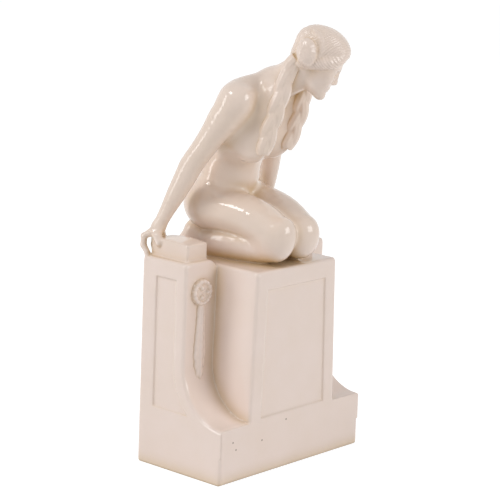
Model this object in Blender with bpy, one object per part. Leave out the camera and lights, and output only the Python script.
"""Bather figurine: a glazed earthenware nude kneeling on a stepped plinth, cast as one piece.

Metres, +Z up. The origin is the centre of the plinth's underside, and the figure faces -Y.
Her right side is -X. The plinth is symmetric about X = 0, and the body is posed by hand on it.
"""
import math

import bmesh
import bpy
from mathutils import Matrix, Vector

# Plinth: a base slab, a block that she kneels on, and a pier at each side with a swept foot
BASE_WIDTH = 0.155
BASE_DEPTH = 0.084
BASE_HEIGHT = 0.041
BLOCK_HEIGHT = 0.111
BLOCK_WIDTH_BELOW = 0.0942
BLOCK_WIDTH_ABOVE = 0.0873
PIER_RISE = 0.004
PIER_DEPTH = 0.0442
PIER_DRAFT = 0.0014
SHOULDER_SLOPE = 0.0047
SWEEP_STEPS = 8
EDGE_ROUND = 0.0012

# Caps on the piers, which her hands hold
CAP_HEIGHT = 0.0127
CAP_FRONT_LEDGE = 0.0052
CAP_BACK_LEDGE = 0.0025
CAP_OUTER_LEDGE = 0.0063
CAP_INNER_LEDGE = 0.0007
CAP_ARCH = 0.0013
CAP_ARCH_STEPS = 4
CAP_SEAT = 0.004

# Sunk panels with sloping edges
PANEL_DEPTH = 0.0009
PANEL_SLOPE = 0.0012
FRONT_PANEL_MARGIN = 0.0125
FRONT_PANEL_TOP_MARGIN = 0.0140
FRONT_PANEL_FOOT = 0.0020
SIDE_PANEL_BACK_MARGIN = 0.0147
SIDE_PANEL_FRONT_MARGIN = 0.0098
SIDE_PANEL_TOP_MARGIN = 0.0130
SIDE_PANEL_FOOT = 0.0042
CUT_OVERSHOOT = 0.004

# Flower boss and hanging drop on the front of each pier
BOSS_RADIUS = 0.0102
BOSS_PROUD = 0.0024
BOSS_DROP = 0.0220
BEAD_COUNT = 10
BEAD_RADIUS = 0.0019
DROP_LENGTH = 0.0520
DROP_WIDTH_ABOVE = 0.0075
DROP_WIDTH_BELOW = 0.0126
DROP_PROUD = 0.0022
DROP_LOBES = 6

# Legs folded under her on the block
KNEES_ASIDE = 0.0008
FEET_ASIDE = -0.0030
KNEE_SETBACK = 0.0110
KNEE_SPREAD = 0.0275
KNEE_HEIGHT = 0.0200
KNEE_RADIUS = 0.0145
HIP_FROM_BACK = 0.0190
HIP_SPREAD = 0.0340
HIP_HEIGHT = 0.0350
HIP_RADIUS = 0.0195
THIGH_RADIUS = 0.0190
THIGH_ARCH = 0.0015
CALF_RADIUS = 0.0118
CALF_ASIDE = 0.0040
ANKLE_RADIUS = 0.0072
ANKLE_SPREAD = 0.0500
ANKLE_FROM_BACK = 0.0160
FOOT_SPREAD = 0.0640
HEEL_HEIGHT = 0.0195
FOOT_FROM_BACK = 0.0020
BUTTOCK_RADIUS = 0.0185
BUTTOCK_SETBACK = 0.0070
BUTTOCK_RISE = 0.0040

# Trunk, from the hips up to the neck, leaning forward and turned to her left
BODY_OFFSET = -0.0050
SPINE_FROM_BACK = 0.0170
TRUNK_SWAY = -0.0030
TRUNK_TURN = math.radians(9)
PELVIS_RISE = 0.0080
PELVIS_RADIUS = 0.0200
WAIST_RISE = 0.0310
WAIST_LEAN = 0.0010
WAIST_RADIUS = 0.0170
WAIST_WIDTH = 0.0150
RIBS_RISE = 0.0570
RIBS_LEAN = 0.0190
RIBS_RADIUS = 0.0190
RIBS_WIDTH = 0.0200
CHEST_RISE = 0.0780
CHEST_LEAN = 0.0310
CHEST_RADIUS = 0.0175
CHEST_WIDTH = 0.0270
BREAST_RISE = 0.0590
BREAST_SPREAD = 0.0340
BREAST_RADIUS = 0.0125
BREAST_REACH = 0.0350
SHOULDER_RISE = 0.0850
SHOULDER_LEAN = 0.0330
SHOULDER_SPAN = 0.0660
SHOULDER_RADIUS = 0.0125
NECK_RISE = 0.0950
NECK_LEAN = 0.0380
NECK_RADIUS = 0.0108
NAPE_RADIUS = 0.0125

# Arms, straight down and back to the caps
ARM_RADIUS = 0.0106
ELBOW_PLACE = 0.5
ELBOW_BEND = 0.0050
ELBOW_RADIUS = 0.0091
FOREARM_RADIUS = 0.0083
WRIST_RADIUS = 0.0052
FINGER_RADIUS = 0.0027
FINGER_COUNT = 4
WRIST_RISE = 0.0062
RIGHT_HAND_PLACE = 0.68
LEFT_HAND_PLACE = 0.45

# Head, bowed and turned to her left, with a coiled bun over each ear and two plaits
HEAD_TURN = math.radians(38)
HEAD_BOW = math.radians(30)
HEAD_REACH = 0.0410
HEAD_ASIDE = 0.0105
HEAD_RISE = 0.0262
SKULL_WIDTH = 0.0340
SKULL_LENGTH = 0.0415
SKULL_HEIGHT = 0.0385
FACE_LENGTH = 0.0300
JAW_WIDTH = 0.0220
THROAT_RADIUS = 0.0088
BUN_RADIUS = 0.0088
BUN_PROUD = 0.0045
BUN_SETBACK = 0.0098
BUN_DROP = 0.0020
WAVE_RADIUS = 0.0038
PLAIT_RADIUS_ABOVE = 0.0048
PLAIT_RADIUS_BELOW = 0.0064
PLAIT_LENGTH = 0.0620
PLAIT_SETBACK = 0.0165
PLAIT_SWAY = 0.0048
PLAIT_BOW = 0.0035
PLAIT_LOBES = 8

# Fineness of the modelled body and relief: grid size, rounds of smoothing, share of faces kept
RELIEF_VOXEL = 0.00095
RELIEF_KEEP = 0.12
BODY_VOXEL = 0.0014
BODY_SMOOTHING = 16
BODY_KEEP = 0.062
DETAIL_VOXEL = 0.0011
DETAIL_SMOOTHING = 3
DETAIL_KEEP = 0.103

FRONT = -BASE_DEPTH / 2
BACK = BASE_DEPTH / 2
SEAT = BASE_HEIGHT + BLOCK_HEIGHT
PIER_TOP = SEAT + PIER_RISE
PIER_FRONT = BACK - PIER_DEPTH
SWEEP_RADIUS = PIER_FRONT - FRONT
CAP_TOP = PIER_TOP + CAP_HEIGHT


def clear_scene():
    """Remove what the file opened with."""
    for thing in list(bpy.data.objects):
        bpy.data.objects.remove(thing, do_unlink=True)


def add_object(name, verts, faces, guide=True):
    """Make a mesh object, by default a hidden guide for a Boolean."""
    mesh = bpy.data.meshes.new(name)
    mesh.from_pydata([tuple(v) for v in verts], [], faces)
    shell = bmesh.new()
    shell.from_mesh(mesh)
    bmesh.ops.remove_doubles(shell, verts=shell.verts, dist=0.000001)
    bmesh.ops.recalc_face_normals(shell, faces=shell.faces)
    shell.to_mesh(mesh)
    shell.free()
    thing = bpy.data.objects.new(name, mesh)
    bpy.context.scene.collection.objects.link(thing)
    if guide:
        thing.hide_render = True
        thing.display_type = "WIRE"
    return thing


def round_edges(thing, width, segments=2):
    """Soften an object's edges as a glaze does."""
    bevel = thing.modifiers.new("glazed edges", "BEVEL")
    bevel.width = width
    bevel.segments = segments
    bevel.limit_method = "ANGLE"
    bevel.angle_limit = math.radians(30)


def combine(thing, other, operation):
    """Add or cut one object with another."""
    step = thing.modifiers.new(other.name, "BOOLEAN")
    step.operation = operation
    step.solver = "EXACT"
    step.object = other


# Plinth
def pier_outer(z):
    """Half width of the plinth at a height, with the mould's draft."""
    return BASE_WIDTH / 2 - PIER_DRAFT * z / PIER_TOP


def block_side(z):
    """Half width of the block at a height."""
    share = (z - BASE_HEIGHT) / BLOCK_HEIGHT
    return (BLOCK_WIDTH_BELOW + (BLOCK_WIDTH_ABOVE - BLOCK_WIDTH_BELOW) * share) / 2


def sweep_point(share):
    """Point of the swept foot in the side view, from the base's front edge up to the pier."""
    turn = math.radians(90) * (1 - share)
    return (FRONT + SWEEP_RADIUS * math.cos(turn),
            BASE_HEIGHT + SWEEP_RADIUS * (1 - math.sin(turn)))


def make_plinth():
    """Base, block and piers as one closed mesh, with rounded edges."""
    verts = []
    faces = []

    def point(x, y, z):
        verts.append((x, y, z))
        return len(verts) - 1

    sweep = [sweep_point(step / SWEEP_STEPS) for step in range(SWEEP_STEPS + 1)]
    shoulder = BLOCK_WIDTH_ABOVE / 2 + SHOULDER_SLOPE
    sides = []
    for side in (-1, 1):
        ends = {}
        for name, y, z in (("front foot", FRONT, 0.0), ("back foot", BACK, 0.0),
                           ("front top", PIER_FRONT, PIER_TOP), ("back top", BACK, PIER_TOP)):
            ends[name] = point(side * pier_outer(z), y, z)
        ends["outer sweep"] = [point(side * pier_outer(z), y, z) for y, z in sweep]
        ends["inner sweep"] = [point(side * block_side(z), y, z) for y, z in sweep]
        ends["front slope"] = point(side * shoulder, PIER_FRONT, PIER_TOP)
        ends["back slope"] = point(side * shoulder, BACK, PIER_TOP)
        for name, y in (("front seat", FRONT), ("pier seat", PIER_FRONT), ("back seat", BACK)):
            ends[name] = point(side * block_side(SEAT), y, SEAT)
        sides.append(ends)
        outer = ends["outer sweep"]
        inner = ends["inner sweep"]
        faces.append([ends["front foot"], *outer, ends["front top"], ends["back top"], ends["back foot"]])
        for step in range(SWEEP_STEPS):
            faces.append([outer[step], inner[step], inner[step + 1], outer[step + 1]])
        faces.append([outer[-1], inner[-1], ends["pier seat"], ends["front slope"], ends["front top"]])
        faces.append([ends["front top"], ends["front slope"], ends["back slope"], ends["back top"]])
        faces.append([ends["front slope"], ends["pier seat"], ends["back seat"], ends["back slope"]])
        faces.append([*inner, ends["pier seat"], ends["front seat"]])
    left, right = sides
    faces.append([left["front seat"], left["pier seat"], left["back seat"],
                  right["back seat"], right["pier seat"], right["front seat"]])
    faces.append([left["front foot"], left["outer sweep"][0], left["inner sweep"][0], left["front seat"],
                  right["front seat"], right["inner sweep"][0], right["outer sweep"][0],
                  right["front foot"]])
    faces.append([left["back foot"], left["back top"], left["back slope"], left["back seat"],
                  right["back seat"], right["back slope"], right["back top"], right["back foot"]])
    faces.append([left["front foot"], left["back foot"], right["back foot"], right["front foot"]])
    plinth = add_object("bather_figurine", verts, faces, guide=False)
    round_edges(plinth, EDGE_ROUND)
    return plinth


def prism(name, rim, floor):
    """Closed solid between two outlines of as many points."""
    count = len(rim)
    faces = [list(range(count)), list(range(count, 2 * count))]
    for step in range(count):
        after = (step + 1) % count
        faces.append([step, after, count + after, count + step])
    return add_object(name, [*rim, *floor], faces)


def cut_front_panel(plinth):
    """Sunk panel on the block's front, its sides leaning with the block's own."""
    low = BASE_HEIGHT + FRONT_PANEL_FOOT
    high = SEAT - FRONT_PANEL_TOP_MARGIN

    def outline(y, shrink):
        points = []
        for z, sign in ((low + shrink, -1), (high - shrink, 1)):
            half = block_side(z) - FRONT_PANEL_MARGIN - shrink
            points += [(sign * half, y, z), (-sign * half, y, z)]
        return points

    grow = PANEL_SLOPE / PANEL_DEPTH
    cutter = prism("front panel", outline(FRONT - CUT_OVERSHOOT, -grow * CUT_OVERSHOOT),
                   outline(FRONT + PANEL_DEPTH, PANEL_SLOPE))
    combine(plinth, cutter, "DIFFERENCE")


def cut_side_panels(plinth):
    """Sunk panel on each pier's outer side, whose front edge follows the swept foot."""
    low = BASE_HEIGHT + SIDE_PANEL_FOOT
    high = PIER_TOP - SIDE_PANEL_TOP_MARGIN

    def outline(side, depth, shrink):
        inset = SIDE_PANEL_FRONT_MARGIN + shrink
        reach = SWEEP_RADIUS + inset
        start = math.asin((BASE_HEIGHT + SWEEP_RADIUS - low - shrink) / reach)
        points = []
        for step in range(SWEEP_STEPS + 1):
            turn = start * (1 - step / SWEEP_STEPS)
            y = FRONT + reach * math.cos(turn)
            z = BASE_HEIGHT + SWEEP_RADIUS - reach * math.sin(turn)
            points.append((y, z))
        points.append((PIER_FRONT + inset, high - shrink))
        points.append((BACK - SIDE_PANEL_BACK_MARGIN - shrink, high - shrink))
        points.append((BACK - SIDE_PANEL_BACK_MARGIN - shrink, low + shrink))
        return [(side * (pier_outer(z) - depth), y, z) for y, z in points]

    grow = PANEL_SLOPE / PANEL_DEPTH
    for side, name in ((-1, "right side panel"), (1, "left side panel")):
        cutter = prism(name, outline(side, -PANEL_DEPTH, -grow * PANEL_DEPTH),
                       outline(side, PANEL_DEPTH, PANEL_SLOPE))
        combine(plinth, cutter, "DIFFERENCE")


def cap_edges():
    """Inner and outer X and front and back Y of a cap, for the side at +X."""
    inner = BLOCK_WIDTH_ABOVE / 2 + SHOULDER_SLOPE + CAP_INNER_LEDGE
    outer = pier_outer(PIER_TOP) - CAP_OUTER_LEDGE
    return inner, outer, PIER_FRONT + CAP_FRONT_LEDGE, BACK - CAP_BACK_LEDGE


def add_caps(plinth):
    """Raised cap on each pier, with a top arched from front to back."""
    inner, outer, front, back = cap_edges()
    profile = [(front, PIER_TOP - CAP_SEAT)]
    for step in range(CAP_ARCH_STEPS + 1):
        share = step / CAP_ARCH_STEPS
        rise = CAP_ARCH * math.sin(math.pi * share)
        profile.append((front + (back - front) * share, CAP_TOP - CAP_ARCH / 2 + rise))
    profile.append((back, PIER_TOP - CAP_SEAT))
    for side, name in ((-1, "right cap"), (1, "left cap")):
        cap = prism(name, [(side * inner, y, z) for y, z in profile],
                    [(side * outer, y, z) for y, z in profile])
        round_edges(cap, EDGE_ROUND)
        combine(plinth, cap, "UNION")


# Rounded forms, each the convex skin round a few balls
def unit_ball(subdivisions):
    """Points of a ball of radius 1."""
    ball = bmesh.new()
    bmesh.ops.create_icosphere(ball, subdivisions=subdivisions, radius=1.0)
    points = [vert.co.copy() for vert in ball.verts]
    ball.free()
    return points


FINE_BALL = unit_ball(2)
PLAIN_BALL = unit_ball(1)


class Clay:
    """A heap of overlapping closed forms."""

    def __init__(self):
        self.verts = []
        self.faces = []

    def skin(self, *balls, points=None):
        """Add the convex skin of some balls, each given as centre and radius or three radii."""
        shell = bmesh.new()
        for centre, radius, *axes in balls:
            radii = radius if isinstance(radius, tuple) else (radius, radius, radius)
            turn = axes[0] if axes else Matrix.Identity(3)
            for place in points or FINE_BALL:
                local = Vector([place[i] * radii[i] for i in range(3)])
                shell.verts.new(Vector(centre) + turn @ local)
        bmesh.ops.convex_hull(shell, input=shell.verts)
        loose = [vert for vert in shell.verts if not vert.link_faces]
        bmesh.ops.delete(shell, geom=loose, context="VERTS")
        bmesh.ops.recalc_face_normals(shell, faces=shell.faces)
        shell.verts.index_update()
        first = len(self.verts)
        self.verts += [vert.co.copy() for vert in shell.verts]
        self.faces += [[first + vert.index for vert in face.verts] for face in shell.faces]
        shell.free()

    def chain(self, *balls):
        """Add a limb that runs through several balls in turn."""
        for start, end in zip(balls, balls[1:]):
            self.skin(start, end)


def add_pier_drops(plinth):
    """Flower boss with a hanging drop of leaves on the front of each pier."""
    inner = block_side(SEAT)
    outer = pier_outer(PIER_TOP)
    boss_height = PIER_TOP - BOSS_DROP
    drop_top = boss_height - BOSS_RADIUS
    for side, name in ((-1, "right drop"), (1, "left drop")):
        clay = Clay()
        middle = side * (inner + outer) / 2
        flat = (BOSS_RADIUS, BOSS_PROUD, BOSS_RADIUS)
        clay.skin(((middle, PIER_FRONT, boss_height), flat))
        for bead in range(BEAD_COUNT):
            turn = 2 * math.pi * bead / BEAD_COUNT
            reach = BOSS_RADIUS - 1.2 * BEAD_RADIUS
            centre = (middle + reach * math.sin(turn), PIER_FRONT - BEAD_RADIUS / 2,
                      boss_height + reach * math.cos(turn))
            clay.skin((centre, BEAD_RADIUS), points=PLAIN_BALL)
        for lobe in range(DROP_LOBES):
            share = (lobe + 0.5) / DROP_LOBES
            width = DROP_WIDTH_ABOVE + (DROP_WIDTH_BELOW - DROP_WIDTH_ABOVE) * math.sin(
                math.pi * min(1.0, 0.15 + 0.75 * share))
            height = DROP_LENGTH / DROP_LOBES
            centre = (middle, PIER_FRONT, drop_top - DROP_LENGTH * share)
            clay.skin((centre, (width / 2, DROP_PROUD, 0.75 * height)), points=PLAIN_BALL)
        drop = add_object(name, clay.verts, clay.faces)
        weld = drop.modifiers.new("one skin", "REMESH")
        weld.mode = "VOXEL"
        weld.voxel_size = RELIEF_VOXEL
        thin = drop.modifiers.new("fewer faces", "DECIMATE")
        thin.ratio = RELIEF_KEEP
        combine(plinth, drop, "UNION")


# Figure
def side_sign(side):
    """-1 for her right, 1 for her left."""
    return -1 if side == "right" else 1


def trunk_point(rise, lean, across=0.0, forward=0.0):
    """Point in the trunk, from its rise over the hips and its lean forward there."""
    turn = TRUNK_TURN * rise / NECK_RISE
    hips = Vector((BODY_OFFSET, BACK - SPINE_FROM_BACK, SEAT + HIP_HEIGHT))
    line = hips + Vector((TRUNK_SWAY * rise / NECK_RISE, -lean, rise))
    aside = Vector((math.cos(turn), math.sin(turn), 0.0))
    ahead = Vector((math.sin(turn), -math.cos(turn), 0.0))
    return line + across * aside + forward * ahead


def add_legs(clay):
    """Thighs, shins and feet, the shins lying on the block."""
    for side in ("right", "left"):
        sign = side_sign(side)
        knee = Vector((KNEES_ASIDE + sign * KNEE_SPREAD / 2, FRONT + KNEE_SETBACK, SEAT + KNEE_HEIGHT))
        hip = Vector((BODY_OFFSET + sign * HIP_SPREAD / 2, BACK - HIP_FROM_BACK, SEAT + HIP_HEIGHT))
        middle = hip.lerp(knee, 0.55) + Vector((0, 0, THIGH_ARCH))
        ankle = Vector((FEET_ASIDE + sign * ANKLE_SPREAD / 2, BACK - ANKLE_FROM_BACK, SEAT + ANKLE_RADIUS))
        shin = Vector((knee.x, knee.lerp(ankle, 0.12).y, SEAT + CALF_RADIUS * 0.85))
        calf = Vector((knee.x + sign * CALF_ASIDE, knee.lerp(ankle, 0.65).y, SEAT + CALF_RADIUS * 0.9))
        toes = Vector((FEET_ASIDE + sign * FOOT_SPREAD / 2, BACK - FOOT_FROM_BACK,
                       SEAT + ANKLE_RADIUS * 0.8))
        heel = ankle.lerp(toes, 0.6)
        heel.z = SEAT + HEEL_HEIGHT
        clay.chain((hip, HIP_RADIUS), (middle, THIGH_RADIUS), (knee, KNEE_RADIUS))
        clay.chain((knee, KNEE_RADIUS), (shin, CALF_RADIUS * 0.9), (calf, CALF_RADIUS),
                   (ankle, ANKLE_RADIUS))
        clay.skin((ankle, ANKLE_RADIUS), (heel, ANKLE_RADIUS), (toes, ANKLE_RADIUS * 0.8))
        clay.skin((hip + Vector((-sign * 0.001, BUTTOCK_SETBACK, BUTTOCK_RISE)), BUTTOCK_RADIUS))


def add_trunk(clay):
    """Pelvis, waist, ribs, chest, shoulders and the root of the neck."""
    rings = ((PELVIS_RISE, 0.0, HIP_SPREAD * 0.5, PELVIS_RADIUS),
             (WAIST_RISE, WAIST_LEAN, WAIST_WIDTH, WAIST_RADIUS),
             (RIBS_RISE, RIBS_LEAN, RIBS_WIDTH, RIBS_RADIUS),
             (CHEST_RISE, CHEST_LEAN, CHEST_WIDTH, CHEST_RADIUS))
    pairs = []
    for rise, lean, width, radius in rings:
        pairs.append([(trunk_point(rise, lean, sign * width / 2), radius) for sign in (-1, 1)])
    for below, above in zip(pairs, pairs[1:]):
        clay.skin(*below, *above)
    neck = (trunk_point(NECK_RISE, NECK_LEAN), NECK_RADIUS * 1.2)
    shoulders = [(shoulder_point(side), SHOULDER_RADIUS) for side in ("right", "left")]
    clay.skin(*pairs[-1], *shoulders)
    clay.skin(*pairs[-1], neck)
    for shoulder, radius in shoulders:
        clay.skin((shoulder, radius * 0.9), (trunk_point(NECK_RISE, NECK_LEAN, 0, -0.004), NAPE_RADIUS))
    for sign in (-1, 1):
        centre = trunk_point(BREAST_RISE, 0.0, sign * BREAST_SPREAD / 2, BREAST_REACH)
        clay.skin((centre, BREAST_RADIUS))


def shoulder_point(side):
    """Centre of a shoulder."""
    return trunk_point(SHOULDER_RISE, SHOULDER_LEAN, side_sign(side) * SHOULDER_SPAN / 2)


def wrist_point(side):
    """Centre of a wrist, over the back outer corner of a cap."""
    inner, outer, _, back = cap_edges()
    place = RIGHT_HAND_PLACE if side == "right" else LEFT_HAND_PLACE
    across = inner + place * (outer - inner)
    return Vector((side_sign(side) * across, back + 0.001, CAP_TOP + WRIST_RISE))


def add_arms(clay):
    """Arms that reach back and down to the caps."""
    for side in ("right", "left"):
        shoulder = shoulder_point(side)
        wrist = wrist_point(side)
        elbow = shoulder.lerp(wrist, ELBOW_PLACE) + Vector((0, ELBOW_BEND, 0))
        upper = shoulder.lerp(elbow, 0.5) + Vector((0, ELBOW_BEND / 2, 0))
        fore = elbow.lerp(wrist, 0.35)
        clay.chain((shoulder, SHOULDER_RADIUS), (upper, ARM_RADIUS), (elbow, ELBOW_RADIUS),
                   (fore, FOREARM_RADIUS), (wrist, WRIST_RADIUS))


def add_hands(clay):
    """Hands that hold the caps, with the fingers curled over the back edge."""
    _, outer, _, back = cap_edges()
    for side in ("right", "left"):
        sign = side_sign(side)
        wrist = wrist_point(side)
        knuckles = Vector((wrist.x, back + 0.004, CAP_TOP + FINGER_RADIUS))
        palm = []
        for finger in range(FINGER_COUNT):
            across = (finger / (FINGER_COUNT - 1) - 0.5) * 2.2 * FINGER_RADIUS * (FINGER_COUNT - 1)
            root = knuckles + Vector((across, 0.0, 0.0))
            bend = Vector((root.x, back + 2.2 * FINGER_RADIUS, CAP_TOP - 0.3 * CAP_HEIGHT))
            tip = Vector((root.x, back + 0.6 * FINGER_RADIUS, PIER_TOP + FINGER_RADIUS))
            clay.chain((root, FINGER_RADIUS), (bend, FINGER_RADIUS), (tip, FINGER_RADIUS))
            palm.append((root, FINGER_RADIUS))
        clay.skin((wrist, WRIST_RADIUS), palm[0], palm[-1])
        thumb_root = wrist + Vector((sign * 0.003, -0.002, -0.002))
        thumb_tip = Vector((sign * outer, wrist.y - 0.006, CAP_TOP - 0.002))
        clay.skin((thumb_root, FINGER_RADIUS), (thumb_tip, FINGER_RADIUS))


def head_frame():
    """Middle of the skull, and axes to her right, ahead and up."""
    root = trunk_point(NECK_RISE, NECK_LEAN)
    ahead_flat = Vector((math.sin(HEAD_TURN), -math.cos(HEAD_TURN), 0.0))
    ahead = ahead_flat * math.cos(HEAD_BOW) - Vector((0, 0, math.sin(HEAD_BOW)))
    aside = ahead.cross(Vector((0, 0, 1))).normalized()
    above = aside.cross(ahead)
    middle = root + Vector((HEAD_ASIDE, -HEAD_REACH, HEAD_RISE))
    turn = Matrix((aside, ahead, above)).transposed()
    return middle, turn


def add_head(clay):
    """Skull, face, hair, buns and neck."""
    middle, turn = head_frame()

    def place(right, ahead, up):
        return middle + turn @ Vector((right, ahead, up))

    def form(right, ahead, up, *radii):
        clay.skin((place(right, ahead, up), radii, turn))

    root = trunk_point(NECK_RISE, NECK_LEAN)
    nape = place(0.0, -SKULL_LENGTH * 0.15, -SKULL_HEIGHT * 0.40)
    throat = place(0.0, SKULL_LENGTH * 0.03, -SKULL_HEIGHT * 0.60)
    clay.skin((root - Vector((0, 0, 0.003)), NECK_RADIUS * 1.1), (nape, NECK_RADIUS),
              (throat, THROAT_RADIUS))
    form(0, 0, 0.001, SKULL_WIDTH / 2, SKULL_LENGTH / 2, SKULL_HEIGHT / 2)
    jaw = (place(0, 0.0105, -FACE_LENGTH * 0.50), (JAW_WIDTH / 2, 0.0085, 0.010), turn)
    chin = (place(0, 0.0145, 0.004 - FACE_LENGTH), (0.0048, 0.0042, 0.0042), turn)
    clay.skin(jaw, chin)
    bridge = (place(0, 0.0185, -0.0065), (0.0014, 0.0016, 0.0020), turn)
    nose = (place(0, 0.0205, -0.0145), (0.0022, 0.0022, 0.0018), turn)
    clay.skin(bridge, nose)
    form(0, 0.0178, -0.0200, 0.0040, 0.0022, 0.0016)
    for sign in (-1, 1):
        bun = place(sign * SKULL_WIDTH / 2, -BUN_SETBACK, -BUN_DROP)
        clay.skin((bun, (BUN_PROUD, BUN_RADIUS, BUN_RADIUS), turn))
        forehead = place(sign * SKULL_WIDTH * 0.16, SKULL_LENGTH * 0.35, SKULL_HEIGHT * 0.25)
        temple = place(sign * SKULL_WIDTH * 0.43, SKULL_LENGTH * 0.14, -SKULL_HEIGHT * 0.14)
        behind_ear = place(sign * SKULL_WIDTH * 0.36, -SKULL_LENGTH * 0.20, -SKULL_HEIGHT * 0.42)
        clay.chain((forehead, WAVE_RADIUS), (temple, WAVE_RADIUS), (behind_ear, WAVE_RADIUS))


def add_plaits(clay):
    """A plait from behind each ear, which hangs in front of the shoulder and rests on the breast."""
    middle, turn = head_frame()
    for outward, right, ahead, up in ((-1, 0.22, -0.35, -0.51), (1, -0.50, -0.10, -0.31)):
        root = Vector((right * SKULL_WIDTH, ahead * SKULL_LENGTH, up * SKULL_HEIGHT))
        start = middle + turn @ root
        end = start + Vector((outward * PLAIT_SWAY, PLAIT_SETBACK, -PLAIT_LENGTH))
        places = []
        for lobe in range(PLAIT_LOBES + 1):
            share = lobe / PLAIT_LOBES
            bow = Vector((0, -PLAIT_BOW * math.sin(math.pi * share), 0))
            radius = PLAIT_RADIUS_ABOVE + (PLAIT_RADIUS_BELOW - PLAIT_RADIUS_ABOVE) * share
            places.append((start.lerp(end, share) + bow, radius))
        for index, (centre, radius) in enumerate(places):
            shift = 0.22 * radius * (1 if index % 2 else -1)
            clay.skin((centre + Vector((shift, 0, 0)), (radius, radius, 1.1 * radius)))
        for (start_at, radius), (end_at, _) in zip(places, places[1:]):
            clay.skin((start_at, radius * 0.8), (end_at, radius * 0.8))
        above, _ = places[PLAIT_LOBES // 2]
        below, _ = places[-1]
        chest = trunk_point(CHEST_RISE, CHEST_LEAN, outward * CHEST_WIDTH / 2, CHEST_RADIUS / 2)
        breast = trunk_point(BREAST_RISE, 0.0, outward * BREAST_SPREAD / 2, BREAST_REACH)
        web = PLAIT_RADIUS_BELOW / 2
        clay.skin((above, web), (below, web), (chest, web), (breast, web))


def add_form(plinth, name, builders, voxel, smoothing, keep):
    """Join rounded forms into one smooth skin, and that skin to the plinth."""
    clay = Clay()
    for build in builders:
        build(clay)
    form = add_object(name, clay.verts, clay.faces)
    weld = form.modifiers.new("one skin", "REMESH")
    weld.mode = "VOXEL"
    weld.voxel_size = voxel
    smooth = form.modifiers.new("softened", "SMOOTH")
    smooth.factor = 0.5
    smooth.iterations = smoothing
    thin = form.modifiers.new("fewer faces", "DECIMATE")
    thin.ratio = keep
    combine(plinth, form, "UNION")


def cream_glaze():
    """Cream glaze over earthenware."""
    glaze = bpy.data.materials.new("cream glaze")
    glaze.use_nodes = True
    shader = glaze.node_tree.nodes["Principled BSDF"]
    shader.inputs["Base Color"].default_value = (0.80, 0.69, 0.56, 1.0)
    shader.inputs["Roughness"].default_value = 0.12
    shader.inputs["Metallic"].default_value = 0.0
    return glaze


def main():
    clear_scene()
    plinth = make_plinth()
    cut_front_panel(plinth)
    cut_side_panels(plinth)
    add_caps(plinth)
    add_pier_drops(plinth)
    add_form(plinth, "body", (add_legs, add_trunk, add_arms), BODY_VOXEL, BODY_SMOOTHING, BODY_KEEP)
    add_form(plinth, "head and hands", (add_head, add_plaits, add_hands), DETAIL_VOXEL,
             DETAIL_SMOOTHING, DETAIL_KEEP)
    plinth.data.materials.append(cream_glaze())
    plinth.data.shade_smooth()
    plinth.data.set_sharp_from_angle(angle=math.radians(50))


main()
